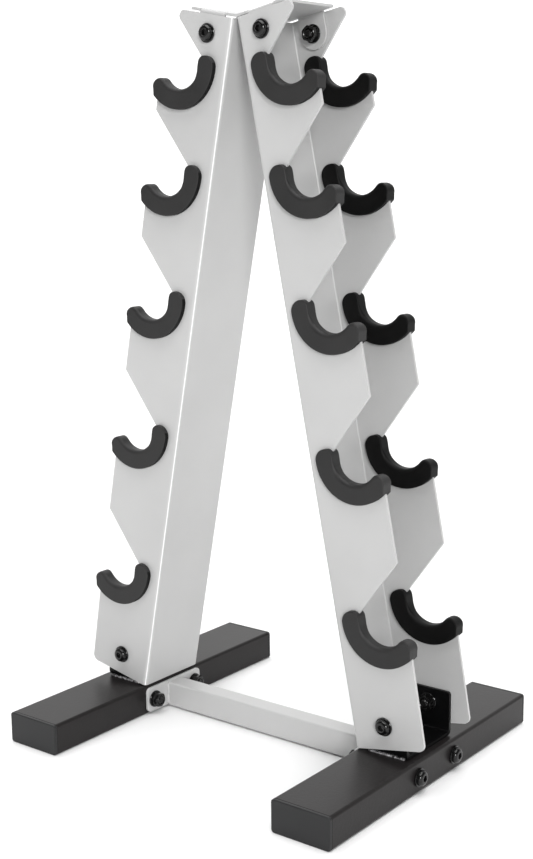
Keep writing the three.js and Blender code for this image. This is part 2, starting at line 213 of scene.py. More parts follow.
class Wire:
    """One socket of a material's nodes, so that shader maths reads as plain arithmetic."""

    def __init__(self, tree, socket=None):
        self.tree = tree
        self.socket = socket

    def node(self, kind, settings=None, sockets=None, output=0):
        """Adds a node, sets it, fills its sockets, and gives back the output asked for."""
        made = self.tree.nodes.new("ShaderNode" + kind)
        for name, value in (settings or {}).items():
            if name == "stops":
                for stop, (place, shade) in zip(made.color_ramp.elements, value):
                    stop.position = place
                    stop.color = (shade, shade, shade, 1)
            else:
                setattr(made, name, value)
        for name, value in (sockets or {}).items():
            if isinstance(value, Wire):
                self.tree.links.new(value.socket, made.inputs[name])
            else:
                made.inputs[name].default_value = value
        return Wire(self.tree, made.outputs[output])

    def maths(self, operation, *values):
        return self.node("Math", {"operation": operation}, dict(enumerate(values)))

    def __add__(self, other):
        return self.maths("ADD", self, other)

    def __sub__(self, other):
        return self.maths("SUBTRACT", self, other)

    def __rsub__(self, other):
        return self.maths("SUBTRACT", other, self)

    def __mul__(self, other):
        return self.maths("MULTIPLY", self, other)

    __radd__ = __add__
    __rmul__ = __mul__

    def grain(self, scale, detail=2.0, roughness=0.5):
        """Noise of so many cycles to the metre, in the piece's own coordinates."""
        place = self.node("TexCoord", output="Object")
        return self.node(
            "TexNoise", {}, {"Vector": place, "Scale": scale, "Detail": detail, "Roughness": roughness}
        )

    def ramp(self, low, high):
        """The value stretched so that low becomes 0 and high becomes 1."""
        return self.node("ValToRGB", {"stops": [(low, 0), (high, 1)]}, {"Fac": self})

    def blend(self, first, second):
        """A colour mixed from first to second by this value."""
        sockets = {0: self, 6: first, 7: second}
        return self.node("Mix", {"data_type": "RGBA"}, sockets, output=2)

    def edges(self, width):
        """1 on edges that are tighter than width metres, and 0 on open faces."""
        rounded = self.node("Bevel", {"samples": 6}, {"Radius": width})
        plain = self.node("NewGeometry", output="Normal")
        match = self.node("VectorMath", {"operation": "DOT_PRODUCT"}, {0: rounded, 1: plain}, "Value")
        return (1 - match).ramp(0.02, 0.3)


def new_finish(name, **settings):
    """A material with its constant sockets set; returns it, a wire to build on, and its shader."""
    material = bpy.data.materials.new(name)
    material.use_nodes = True
    shader = material.node_tree.nodes["Principled BSDF"]
    for socket, value in settings.items():
        shader.inputs[socket.replace("_", " ")].default_value = value
    return material, Wire(material.node_tree), shader


def drive(shader, **sources):
    """Links wires to the shader's sockets of the same names."""
    for socket, wire in sources.items():
        wire.tree.links.new(wire.socket, shader.inputs[socket.replace("_", " ")])


def bumps(wire, height, distance):
    return wire.node("Bump", {}, {"Height": height, "Distance": distance, "Strength": 1.0})


def bend_highlight_mask(wire):
    """Mask of the painted highlight: 1 along the crests of an upright's two outside bends, in the
    upright's own coordinates.
    """
    crest = upright_width / 2 - 2 * upright_bend * (1 - math.sqrt(0.5))
    fades_below = 0.097
    full_below = 0.007
    place = wire.node("TexCoord", output="Object")
    depth = wire.node("SeparateXYZ", {}, {"Vector": place}, output=0)
    width = wire.node("SeparateXYZ", {}, {"Vector": place}, output=1)
    outwards = wire.maths("ABSOLUTE", width) - depth
    reach = {"From Min": (crest - fades_below) * MM, "From Max": (crest - full_below) * MM}
    return wire.node("MapRange", {}, {"Value": outwards, **reach})


def powder_coat(name, body, thin, roughness, peel, paints_bend_highlight=False, **settings):
    """Powder coat: orange peel, faint mottling, and a thinner, smoother skin over its edges; for the
    uprights, also a painted highlight line along the crests of the bends.
    """
    material, wire, shader = new_finish(name, IOR=1.5, **settings)
    mottle = wire.grain(9, 3)
    speckle = wire.grain(1500, 2, 0.6)
    edge = wire.edges(0.0012)
    tone = (mottle * 0.7 + speckle * 0.3).ramp(0.3, 0.7)
    lighter = tuple(1.07 * c for c in body[:3]) + (1,)
    darker = tuple(0.94 * c for c in body[:3]) + (1,)
    colour = (edge * 0.55).blend(tone.blend(darker, lighter), thin)
    # Painted highlight: a near-white line laid into the colour along the uprights' bend crests.
    if paints_bend_highlight:
        colour = bend_highlight_mask(wire).blend(colour, bend_highlight_colour)
    peels = wire.grain(420, 1, 0.4) * 0.7 + wire.grain(1900, 2) * 0.3
    drive(
        shader,
        Base_Color=colour,
        Roughness=roughness + (mottle - 0.5) * 0.12 + (speckle - 0.5) * 0.1 - edge * 0.06,
        Normal=bumps(wire, peels, peel),
    )
    return material


light_grey = (0.48, 0.48, 0.478, 1)
thin_light_grey = (0.6, 0.6, 0.597, 1)
# The colour of the painted highlight along the uprights' bends.
bend_highlight_colour = (0.96, 0.96, 0.96, 1)
light_grey_coat = {
    "body": light_grey,
    "thin": thin_light_grey,
    "roughness": 0.38,
    "peel": 0.0001,
    "Coat_Weight": 0.25,
    "Coat_Roughness": 0.16,
}
frame_paint = powder_coat("light grey powder coat", **light_grey_coat)
upright_paint = powder_coat("light grey powder coat with painted bend highlight", paints_bend_highlight=True, **light_grey_coat)


def drilled_face(bm, rim, holes, place):
    """Fills a flat face inside a rim of vertices, with a round hole at each centre in holes."""
    rings = []
    for at in holes:
        rings.append([place(p) for p in full_circle(at.x, at.y, bolt_hole_radius, 24)])
    fill_flat(bm, [rim, *rings])


def face_like(bm, face, outside):
    """Turns a folded sheet's faces so that this one looks towards its outside."""
    if face.normal.dot(Vector(outside)) < 0:
        bmesh.ops.reverse_faces(bm, faces=bm.faces)


def folded_upright():
    bm = bmesh.new()
    bend_y = upright_width / 2 - upright_bend
    section = [
        *arc(upright_bend, -bend_y, upright_bend, -math.pi / 2, -math.pi, 8),
        *arc(upright_bend, bend_y, upright_bend, math.pi, math.pi / 2, 8),
    ]
    low = [bm.verts.new((p.x, p.y, 0)) for p in section]
    high = [bm.verts.new((p.x, p.y, upright_length)) for p in section]
    for i in range(len(section) - 1):
        bm.faces.new((low[i + 1], low[i], high[i], high[i + 1]))
    outline = flange_outline()
    for side, foot, top in ((-1, low[0], high[0]), (1, low[-1], high[-1])):

        def in_flange(p):
            return bm.verts.new((p.x, side * upright_width / 2, p.y))

        rim = [foot] + [in_flange(p) for p in outline[1:-1]] + [top]
        drilled_face(bm, rim, [lower_bolt_in_flange, upper_bolt_in_flange], in_flange)
    bmesh.ops.recalc_face_normals(bm, faces=bm.faces)
    web = next(f for f in bm.faces if abs(f.normal.x) > 0.99)
    face_like(bm, web, (-1, 0, 0))
    return to_mesh("folded upright", bm, upright_paint)


def into_upright(x, z):
    """A point of the rack as (depth, height) in the leaning upright."""
    across, up = x - upright_foot_x, z - upright_foot_z
    return Vector((
        across * math.cos(lean) + up * math.sin(lean), up * math.cos(lean) - across * math.sin(lean)
    ))


lower_bolt_z = foot_height + 28
lower_bolt_in_flange = into_upright(foot_spacing / 2, lower_bolt_z)
upper_bolt_in_flange = Vector((25.5, upright_length - 16))

half_turns = {"left": Matrix.Rotation(math.pi, 4, "Z"), "right": Matrix.Identity(4)}
upright_foot = Matrix.Translation((upright_foot_x * MM, 0, upright_foot_z * MM))
leaning = upright_foot @ Matrix.Rotation(-lean, 4, "Y")
end_signs = {
    "left": {"front": 1, "rear": -1},
    "right": {"front": -1, "rear": 1},
}

upright_mesh = folded_upright()
for side, turn in half_turns.items():
    upright = add_object(f"{side}_upright_sheet", upright_mesh, turn @ leaning)
    thicken(upright, sheet, upright_edge)
    fit(upright, f"{side}_upright")


# ---- Cradles ----
# Twenty liners moulded in charcoal rubber, slotted round the outside so that each pushes on over
# a notch and grips the sheet. The bore's edges, where a handle rides, are well rounded. The faces
# round the outside rim get a near-black rubber as painted shade, and the rear liners a darker,
# less glossy copy of the rubber as painted shade from the flanges.
slot_gap = 0.3
cradle_lip = 4.75
cradle_thickness = sheet + 2 * slot_gap + 2 * cradle_lip
outer_radius = bore_radius + 18
inner_tip_radius = 10
heel_radius = 6.5
outer_tip_radius = 7.6
fine_edge = 0.7
heel_edge = 1.2
handle_edge = 4.0


def cradle_outline():
    """The liner's side view round the centre of its bore, each point with its edge's rounding."""
    past_flange = 1.2
    end_angle = -math.acos((bore_inset + past_flange) / outer_radius)
    tip_angle = math.radians(-50.5)
    tip_end_angle = math.radians(-25)
    tip = Vector((math.cos(tip_angle), math.sin(tip_angle))) * (bore_radius + outer_tip_radius)
    inner_tip_rise = 1
    heel_rise = inner_tip_rise + inner_tip_radius - heel_radius
    outside = arc(0, 0, outer_radius, end_angle, -math.pi, 44)
    inner_tip = arc(
        inner_tip_radius - outer_radius, inner_tip_rise, inner_tip_radius, math.pi, math.pi / 2, 14
    )
    heel = arc(-bore_radius - heel_radius, heel_rise, heel_radius, math.pi / 2, 0, 10)
    bore = arc(0, 0, bore_radius, -math.pi, tip_angle, 40)
    outer_tip = arc(tip.x, tip.y, outer_tip_radius, tip_angle + math.pi, tip_end_angle, 16)

    def grown(start, end, i, steps):
        return start + (end - start) * min(1, i / steps)

    shaped = [(p, fine_edge) for p in outside]
    shaped += [(p, grown(fine_edge, heel_edge, i, 14)) for i, p in enumerate(inner_tip[1:])]
    shaped += [(p, heel_edge) for p in heel[1:]]
    shaped += [(p, grown(heel_edge, handle_edge, i, 9)) for i, p in enumerate(bore)]
    shaped += [(p, grown(handle_edge, fine_edge, i, 11)) for i, p in enumerate(outer_tip[1:])]
    return shaped[::-1]


def inward(points):
    """The direction into an outline that runs anticlockwise, at each of its points."""
    directions = []
    for i, p in enumerate(points):
        before = (p - points[i - 1]).normalized()
        after = (points[(i + 1) % len(points)] - p).normalized()
        first, second = Vector((-before.y, before.x)), Vector((-after.y, after.x))
        across = (first + second).normalized()
        directions.append(across / max(0.5, across.dot(first)))
    return directions


def skin(bm, rings, closed=False):
    """Joins rings of points with four-sided faces; unless closed, the end rings are capped."""
    rows = [[bm.verts.new(p) for p in ring] for ring in rings]
    for first, second in zip(rows, rows[1:] + rows[:1] if closed else rows[1:]):
        for i in range(len(first)):
            j = (i + 1) % len(first)
            bm.faces.new((first[i], first[j], second[j], second[i]))
    if not closed:
        bm.faces.new(rows[0][::-1])
        bm.faces.new(rows[-1])


def solid_mesh(name, rings, material, closed=False, sharp=None):
    """A solid through rings of points; edges over sharp degrees are left crisp."""
    bm = bmesh.new()
    skin(bm, rings, closed)
    bmesh.ops.recalc_face_normals(bm, faces=bm.faces)
    mesh = to_mesh(name, bm, material)
    if sharp:
        mesh.set_sharp_from_angle(angle=math.radians(sharp))
    return mesh


def bake_down(made, name, sharp):
    """Applies a piece's modifiers to one mesh that its copies can share."""
    ready = made.evaluated_get(bpy.context.evaluated_depsgraph_get())
    mesh = bpy.data.meshes.new_from_object(ready)
    mesh.name = name
    mesh.polygons.foreach_set("use_smooth", [True] * len(mesh.polygons))
    mesh.set_sharp_from_angle(angle=math.radians(sharp))
    bpy.data.objects.remove(made)
    return mesh


def cut_away(made, cutter):
    cut = made.modifiers.new("cut", "BOOLEAN")
    cut.operation = "DIFFERENCE"
    cut.solver = "EXACT"
    cut.object = cutter


def cradle_rings(i):
    """The rings of a cradle from its front face to its rear one, with rounded edges at both."""
    shaped = cradle_outline()
    points = [p for p, _ in shaped]
    into = inward(points)
    half = cradle_thickness / 2
    quarter = [math.pi / 2 * k / 6 for k in range(7)]
    sides = [(1 - math.sin(a), 1 - math.cos(a)) for a in quarter]
    rings = []
    for face, steps in ((-1, sides), (1, sides[::-1])):
        for inset, sink in steps:
            ring = []
            for (p, radius), n in zip(shaped, into):
                q = p + n * radius * inset
                y = face * (half - radius * sink)
                ring.append((cradle_depth + q.x, y, cradle_heights[i] + q.y))
            rings.append(ring)
    return rings


def paint_rim_shade(mesh, i):
    """Gives the faces round the outside of a cradle a near-black rubber: painted shade on the rim."""
    mesh.materials.append(rim_shade_rubber)
    bore_centre = Vector((cradle_depth, 0, cradle_heights[i])) * MM
    for face in mesh.polygons:
        spoke = face.center - bore_centre
        spoke.y = 0
        if abs(face.normal.y) < 0.6 and spoke.length > (outer_radius - 1) * MM:
            face.material_index = 1


def moulded_cradle(i, material):
    body_mesh = solid_mesh("cradle body", cradle_rings(i), material)
    paint_rim_shade(body_mesh, i)
    body = add_object("cradle body", body_mesh)
    lowest = cradle_heights[i] - 2 * outer_radius
    edge = notch_edge(i, slot_gap)
    below = [Vector((0, lowest)), Vector((flange_depth + slot_gap, lowest))]
    grip = [*below, *edge, Vector((0, edge[-1].y))]
    slot_half = sheet / 2 + slot_gap
    slot_rings = [[(p.x, y, p.y) for p in grip] for y in (-slot_half, slot_half)]
    cutter = add_object("slot cutter", solid_mesh("slot cutter", slot_rings, material))
    cut_away(body, cutter)
    mesh = bake_down(body, f"moulded cradle {i + 1}", sharp=38)
    bpy.data.objects.remove(cutter)
    return mesh


def moulded_rubber(name, dark, light, worn, gloss):
    """Rubber: a fine matt mould texture, slightly dusty, with a soft sheen on what is handled."""
    material, wire, shader = new_finish(name, IOR=1.5, Specular_IOR_Level=gloss)
    cloud = wire.grain(28, 4)
    pores = wire.grain(2600, 2, 0.7)
    rubbed = wire.edges(0.0022)
    tone = (cloud * 0.65 + pores * 0.35).ramp(0.32, 0.68)
    colour = (rubbed * 0.35).blend(tone.blend(dark, light), worn)
    drive(
        shader,
        Base_Color=colour,
        Roughness=0.5 + (cloud - 0.5) * 0.25 + (pores - 0.5) * 0.12 - rubbed * 0.08,
        Normal=bumps(wire, pores * 0.6 + wire.grain(700, 2) * 0.4, 0.00009),
    )
    return material


worn_charcoal = (0.045, 0.045, 0.045, 1)
worn_black_in_painted_shade = (0.02, 0.02, 0.02, 1)
cradle_rubber = {
    "front": moulded_rubber(
        "charcoal rubber", (0.014, 0.0138, 0.0138, 1), (0.023, 0.0225, 0.0225, 1), worn_charcoal, 0.3
    ),
    # The rear liners: the same rubber made darker and less glossy, as painted shade from the flanges.
    "rear": moulded_rubber(
        "charcoal rubber darkened as painted shade", (0.0022, 0.0022, 0.0022, 1), (0.005, 0.005, 0.005, 1), worn_black_in_painted_shade, 0.13
    ),
}
# Painted shade round the cradles' outside rims: a near-black copy of the rubber.
rim_shade_rubber = moulded_rubber(
    "rubber rim painted shade", (0.003, 0.003, 0.003, 1), (0.006, 0.006, 0.006, 1), worn_black_in_painted_shade, 0.12
)
for i in range(len(cradle_heights)):
    cradle_mesh = moulded_cradle(i, cradle_rubber["front"])
    for side, turn in half_turns.items():
        for end, sign in end_signs[side].items():
            grip_y = sign * (upright_width / 2 - sheet / 2) * MM
            placing = turn @ leaning @ Matrix.Translation((0, grip_y, 0))
            cradle = add_object(f"{side}_{end}_cradle_{i + 1}_rubber", cradle_mesh, placing)
            cradle.material_slots[0].link = "OBJECT"
            cradle.material_slots[0].material = cradle_rubber[end]
            weigh(cradle)
            fit(cradle, f"{side}_{end}_cradle_{i + 1}")


# ---- Feet ----
# Two lengths of 60 x 30 mm rectangular steel tube with 2 mm walls, drilled across for the
# crossbar's bolts and powder coated satin black.
foot_tube_length = 324
foot_wall = 2
foot_corner = 3
crossbar_bolt_y = 30
crossbar_bolt_z = foot_height / 2

foot_paint = powder_coat(
    "satin black powder coat", (0.013, 0.0115, 0.0115, 1), (0.032, 0.03, 0.03, 1), 0.34, 0.00009,
    Specular_IOR_Level=0.2,
)


def rounded_rectangle(width, height, radius, middle_z):
    """A tube's or a plate's outline, centred on 0 across and on middle_z in height."""
    x, z = width / 2 - radius, height / 2 - radius
    quarter = math.pi / 2
    outline = []
    for k, (dx, dz) in enumerate([(x, -z), (x, z), (-x, z), (-x, -z)]):
        outline += arc(dx, middle_z + dz, radius, (k - 1) * quarter, k * quarter, 8)
    return outline


def drill_through(x_from, x_to, y, z):
    """A round cutter along x, for a bolt's hole."""
    circle = full_circle(y, z, bolt_hole_radius, 32)
    rings = [[(x, p.x, p.y) for p in circle] for x in (x_from, x_to)]
    return add_object("drill", solid_mesh("drill", rings, foot_paint))


def drilled(made, name, x_from, x_to, sharp):
    """Drills a tube or a plate for the crossbar's two bolts."""
    drills = [
        drill_through(x_from, x_to, y, crossbar_bolt_z) for y in (-crossbar_bolt_y, crossbar_bolt_y)
    ]
    for drill in drills:
        cut_away(made, drill)
    mesh = bake_down(made, name, sharp)
    for drill in drills:
        bpy.data.objects.remove(drill)
    return mesh


def foot_tube():
    end = foot_tube_length / 2
    end_chamfer, chamfer_length = 0.3, 0.4

    def ring(inset, y):
        outline = rounded_rectangle(
            foot_width - 2 * inset, foot_height - 2 * inset, foot_corner - inset, foot_height / 2
        )
        return [(p.x, y, p.y) for p in outline]

    rings = [
        ring(0, -end + chamfer_length),
        ring(0, end - chamfer_length),
        ring(end_chamfer, end),
        ring(foot_wall, end),
        ring(foot_wall, -end),
        ring(end_chamfer, -end),
    ]
    tube = add_object("tube", solid_mesh("tube", rings, foot_paint, closed=True))
    past_side = foot_width / 2 + 1
    return drilled(tube, "foot tube", -past_side, past_side, sharp=30)


foot_mesh = foot_tube()
on_foot = Matrix.Translation((foot_spacing / 2 * MM, 0, 0))
for side, turn in half_turns.items():
    foot = add_object(f"{side}_foot_tube", foot_mesh, turn @ on_foot)
    weigh(foot)
    fit(foot, f"{side}_foot")


# ---- Foot caps ----
# Four black plastic caps, injection moulded, that push into the tubes' ends on a hollow plug and
# cover the cut ends with a flat head whose rim is slightly rounded.
cap_head = 3
cap_dish = 0.12
cap_rim_radius = 1.1
plug_length = 12
plug_inset = foot_wall + clearance
plug_wall = 2.3


def push_in_cap():
    """Along +Y: the flat head lies before 0, where the tube ends, and the plug after it."""

    def ring(inset, radius, y):
        outline = rounded_rectangle(
            foot_width - 2 * inset, foot_height - 2 * inset, radius, foot_height / 2
        )
        return [(p.x, y, p.y) for p in outline]

    face = [ring(4.5, 1.2, cap_dish - cap_head), ring(2.4, 1.6, cap_dish / 3 - cap_head)]
    rim = []
    for k in range(6):
        angle = math.pi / 2 * k / 5
        inset = cap_rim_radius * (1 - math.sin(angle))
        sink = cap_rim_radius * (1 - math.cos(angle))
        rim.append(ring(inset, foot_corner - inset, sink - cap_head))
    back = [ring(0, foot_corner, -0.2), ring(0.2, foot_corner - 0.2, 0)]
    plug = [
        ring(plug_inset, 1, 0),
        ring(plug_inset, 1, plug_length - 1),
        ring(plug_inset + 0.8, 0.6, plug_length),
        ring(plug_inset + plug_wall, 0.6, plug_length),
        ring(plug_inset + plug_wall + 0.2, 0.6, -1),
    ]
    return solid_mesh("push-in cap", face + rim + back + plug, cap_plastic, sharp=40)


def moulded_plastic():
    """Moulded plastic: a spark-eroded mould's fine grain, scuffed a little smoother in places."""
    material, wire, shader = new_finish("black moulded plastic", IOR=1.46, Specular_IOR_Level=0.35)
    scuffs = wire.grain(45, 5, 0.65)
    grain = wire.grain(1700, 2, 0.6)
    edge = wire.edges(0.0012)
    tone = (scuffs * 0.6 + grain * 0.4).ramp(0.3, 0.7)
    black = tone.blend((0.011, 0.0112, 0.0116, 1), (0.021, 0.0214, 0.0222, 1))
    drive(
        shader,
        Base_Color=(edge * 0.5).blend(black, (0.06, 0.061, 0.064, 1)),
        Roughness=0.46 + (scuffs - 0.5) * 0.3 + (grain - 0.5) * 0.1,
        Normal=bumps(wire, grain, 0.00008),
    )
    return material


cap_plastic = moulded_plastic()
cap_mesh = push_in_cap()
for side, turn in half_turns.items():
    for end, sign in end_signs[side].items():
        seat = Matrix.Translation((0, sign * (foot_tube_length / 2 + clearance) * MM, 0))
        facing = Matrix.Rotation(math.pi if sign > 0 else 0, 4, "Z")
        cap = add_object(f"{side}_{end}_foot_cap_moulding", cap_mesh, turn @ on_foot @ seat @ facing)
        weigh(cap)
        fit(cap, f"{side}_{end}_foot_cap")


# ---- Foot brackets ----
# Two U-shaped straps of 3 mm steel, folded, welded across the tops of the feet and powder coated
# black. A strap's two ears stand inside the upright's flanges and take its lower bolts.
bracket_width = 44
bracket_top = foot_height + 41
bracket_base = foot_height + clearance
bracket_sheet = 3
bracket_bend = 5
bracket_corner = 3
bracket_side = upright_width / 2 - sheet - clearance
strap_edge = 0.5

# The straps' coat is darker and less glossy than the feet's black: painted shade for the channels' dark
# insides.
shaded_bracket_paint = powder_coat(
    "black powder coat darkened as painted shade", (0.003, 0.003, 0.0032, 1), (0.02, 0.02, 0.02, 1), 0.3, 0.00008,
    Specular_IOR_Level=0.15,
)


def bracket_strap():
    bm = bmesh.new()
    half = bracket_width / 2
    bend_y = bracket_side - bracket_bend
    bend_z = bracket_base + bracket_bend
    section = [
        *arc(-bend_y, bend_z, bracket_bend, -math.pi, -math.pi / 2, 8),
        *arc(bend_y, bend_z, bracket_bend, -math.pi / 2, 0, 8),
    ]
    left = [bm.verts.new((-half, p.x, p.y)) for p in section]
    right = [bm.verts.new((half, p.x, p.y)) for p in section]
    for i in range(len(section) - 1):
        bm.faces.new((left[i], right[i], right[i + 1], left[i + 1]))
    corner_x, corner_z = half - bracket_corner, bracket_top - bracket_corner
    top = arc(corner_x, corner_z, bracket_corner, 0, math.pi / 2, 6)
    top += arc(-corner_x, corner_z, bracket_corner, math.pi / 2, math.pi, 6)
    for side, first, second in ((-1, left[0], right[0]), (1, left[-1], right[-1])):

        def in_ear(p):
            return bm.verts.new((p.x, side * bracket_side, p.y))

        rim = [first, second] + [in_ear(p) for p in top]
        drilled_face(bm, rim, [Vector((0, lower_bolt_z))], in_ear)
    bmesh.ops.recalc_face_normals(bm, faces=bm.faces)
    base = next(f for f in bm.faces if abs(f.normal.z) > 0.99)
    face_like(bm, base, (0, 0, -1))
    return to_mesh("bracket strap", bm, shaded_bracket_paint)


def weld_metal(name, dark, bright, roughness):
    """Weld bead under a thin coat: rippled, with bright spatter where the coat breaks."""
    material, wire, shader = new_finish(name, IOR=1.5)
    patches = wire.grain(330, 4, 0.7).ramp(0.45, 0.56)
    drive(
        shader,
        Base_Color=patches.blend(dark, bright),
        Metallic=patches * 0.75,
        Roughness=roughness + wire.grain(600, 3) * 0.2,
        Normal=bumps(wire, wire.grain(900, 4, 0.7), 0.0003),
    )
    return material


def bead(bm, start, end, up, out, size, seed):
    """A run of weld from start to end, as overlapping ripples lying in the corner of up and out."""
    start, end, up, out = Vector(start), Vector(end), Vector(up), Vector(out)
    length = (end - start).length
    ring_spacing = 0.35
    ripple_length, ripple_share = 2.1, 0.14
    wander_share, sway = 0.16, 0.25
    end_share = 0.25
    flatness = 0.8
    steps = max(8, int(length / ring_spacing))
    rings = []
    for k in range(steps + 1):
        run, left = length * k / steps, length * (1 - k / steps)
        ripple = 1 - ripple_share + ripple_share * abs(math.sin(math.pi * run / ripple_length))
        wander = noise.noise(Vector((run * 0.35, seed, 0)))
        taper = math.sqrt(max(0.0, min(1.0, run / size, left / size)))
        radius = size * (ripple + wander_share * wander) * (end_share + (1 - end_share) * taper)
        centre = start.lerp(end, k / steps) + out * sway * wander
        ring = []
        for p in full_circle(0, 0, 1, 14):
            ring.append(centre + out * (p.x * radius) + up * (p.y * radius * flatness))
        rings.append(ring)
    skin(bm, rings)


def weld_mesh(name, bm, material):
    bmesh.ops.recalc_face_normals(bm, faces=bm.faces)
    return to_mesh(name, bm, material)


bracket_weld = weld_metal("bracket weld", (0.018, 0.017, 0.017, 1), (0.62, 0.61, 0.63, 1), 0.2)


def bracket_beads():
    """A run under each of a bracket's bends, short of its two edges."""
    bm = bmesh.new()
    from_edge = 3
    under_bend = 1.2
    bead_size = 1.9
    reach = bracket_width / 2 - from_edge
    top = foot_height + 0.35
    for sign in (-1, 1):
        y = sign * (bracket_side - under_bend)
        bead(bm, (-reach, y, top), (reach, y, top), (0, 0, 1), (0, sign, 0), bead_size, 3 + sign)
    return weld_mesh("bracket beads", bm, bracket_weld)


strap_mesh = bracket_strap()
strap_bead_mesh = bracket_beads()
for side, turn in half_turns.items():
    strap = add_object(f"{side}_foot_bracket_strap", strap_mesh, turn @ on_foot)
    thicken(strap, bracket_sheet, strap_edge)
    fit(strap, f"{side}_foot_bracket")
    beads = add_object(f"{side}_foot_bracket_weld", strap_bead_mesh, turn @ on_foot)
    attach(beads, "root")


# ---- Crossbar ----
# A 25 x 20 mm rectangular steel tube between the feet. A flat plate with rounded corners is
# welded on each of its ends, and the three are powder coated light grey with the uprights.
plate_length = 80
plate_height = 25
plate_thickness = 3
plate_corner = 5
plate_edge = 0.6
crossbar_height = 25
crossbar_depth = 20
crossbar_corner = 2
crossbar_wall = 1.5
crossbar_z = crossbar_bolt_z - 1
crossbar_half = upright_foot_x - clearance - plate_thickness - clearance


def crossbar_tube():
    def ring(inset, x):
        outline = rounded_rectangle(
            crossbar_depth - 2 * inset, crossbar_height - 2 * inset, crossbar_corner - inset, crossbar_z
        )
        return [(x, p.x, p.y) for p in outline]

    rings = [
        ring(0, -crossbar_half),
        ring(0, crossbar_half),
        ring(crossbar_wall, crossbar_half),
        ring(crossbar_wall, -crossbar_half),
    ]
    return solid_mesh("crossbar tube", rings, frame_paint, closed=True, sharp=40)


crossbar = add_object("crossbar_tube", crossbar_tube())
weigh(crossbar)
fit(crossbar, "crossbar")


def end_plate():
    """The plate lies before x = 0, where the foot's side is."""

    def ring(angle, face):
        inset = plate_edge * (1 - math.sin(angle))
        sink = plate_edge * (1 - math.cos(angle))
        outline = rounded_rectangle(
            plate_length - 2 * inset, plate_height - 2 * inset, plate_corner - inset, crossbar_bolt_z
        )
        x = sink - plate_thickness if face < 0 else -sink
        return [(x, p.x, p.y) for p in outline]

    turns = [0, 0.4, 0.8, 1.2, math.pi / 2]
    rings = [ring(angle, -1) for angle in turns]
    rings += [ring(angle, 1) for angle in reversed(turns)]
    plate = add_object("plate", solid_mesh("plate", rings, frame_paint))
    return drilled(plate, "end plate", -plate_thickness - 1, 1, sharp=45)


def plate_beads():
    """A run up each side of the crossbar's end, and one over its top."""
    bm = bmesh.new()
    x = -plate_thickness - clearance
    half_y, half_z = crossbar_depth / 2, crossbar_height / 2
    from_corner = 2
    side_bead, top_bead = 1.7, 1.5
    for sign in (-1, 1):
        y = sign * (half_y + 0.1)
        low = (x, y, crossbar_z - half_z + from_corner)
        high = (x, y, crossbar_z + half_z - from_corner)
        bead(bm, low, high, (0, sign, 0), (-1, 0, 0), side_bead, 7 + sign)
    top = crossbar_z + half_z - 0.8
    front, rear = (x, from_corner - half_y, top), (x, half_y - from_corner, top)
    bead(bm, front, rear, (0, 0, 1), (-1, 0, 0), top_bead, 12)
    return weld_mesh("plate beads", bm, frame_paint)


plate_mesh = end_plate()
plate_bead_mesh = plate_beads()
against_foot = Matrix.Translation(((upright_foot_x - clearance) * MM, 0, 0))
for side, turn in half_turns.items():
    plate = add_object(f"{side}_crossbar_end_plate", plate_mesh, turn @ against_foot)
    weigh(plate)
    fit(plate, f"{side}_crossbar_plate")
    beads = add_object(f"{side}_crossbar_weld", plate_bead_mesh, turn @ against_foot)
    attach(beads, "root")


# ---- Top bracket ----
# One 2.5 mm steel blank, folded in a shallow V to sit on both leaning uprights, with two round
# ears turned down inside the flanges on each wing. It is powder coated light grey.
top_sheet = 2.5
top_gap = 1.2
top_reach = 50
top_edge = 0.3
ear_radius = 14
ear_bend = 3
ear_cut = 0.4
fold_reach = 4.0
over_upright = upright_length + top_gap + top_sheet
ear_start = upper_bolt_in_flange.x - ear_radius
ear_end = upper_bolt_in_flange.x + ear_radius


def out_of_upright(across, up):
    """A point of the leaning upright as (x, z) in the rack."""
    return Vector((
        upright_foot_x + across * math.cos(lean) - up * math.sin(lean),
        upright_foot_z + across * math.sin(lean) + up * math.cos(lean),
    ))


wing_start = (fold_reach * math.cos(lean) - out_of_upright(0, over_upright).x) / math.cos(lean)


def turned_down_ear(bm, at, end, low, high):
    """A bend from the wing's edge between low and high, and the round drilled ear below it."""
    for k in range(1, 7):
        angle = math.pi / 2 * k / 6
        y = end * (bracket_side - ear_bend + ear_bend * math.sin(angle))
        drop = ear_bend * (1 - math.cos(angle))
        next_low = at(ear_start, y, drop)
        next_high = at(ear_end, y, drop)
        bm.faces.new((low, high, next_high, next_low))
        low, high = next_low, next_high

    def in_ear(p):
        return at(p.x, end * bracket_side, over_upright - p.y)

    centre = upper_bolt_in_flange
    rounded = [in_ear(p) for p in arc(centre.x, centre.y, ear_radius, 0, -math.pi, 24)]
    drilled_face(bm, [low, high, *rounded], [centre], in_ear)


def wing(bm, sign):
    """One wing with its two ears; gives back the row of points where it joins the fold."""

    def at(across, y, drop=0.0):
        p = out_of_upright(across, over_upright - drop)
        return bm.verts.new((sign * p.x, y, p.y))

    flat_side = bracket_side - ear_bend
    columns = [wing_start, ear_start, ear_end, top_reach]
    front, rear = ([at(across, end * flat_side) for across in columns] for end in (-1, 1))
    for a, b, c, d in zip(front, front[1:], rear[1:], rear):
        bm.faces.new((a, b, c, d))
    strip_ends = []
    for end, flat in ((-1, front), (1, rear)):
        y = end * bracket_side
        turned_down_ear(bm, at, end, flat[1], flat[2])
        strip_ends.append(at(wing_start, y))
        bm.faces.new((flat[0], flat[1], at(ear_start - ear_cut, y), strip_ends[-1]))
        bm.faces.new((flat[2], flat[3], at(top_reach, y), at(ear_end + ear_cut, y)))
    return [strip_ends[0], front[0], rear[0], strip_ends[1]]


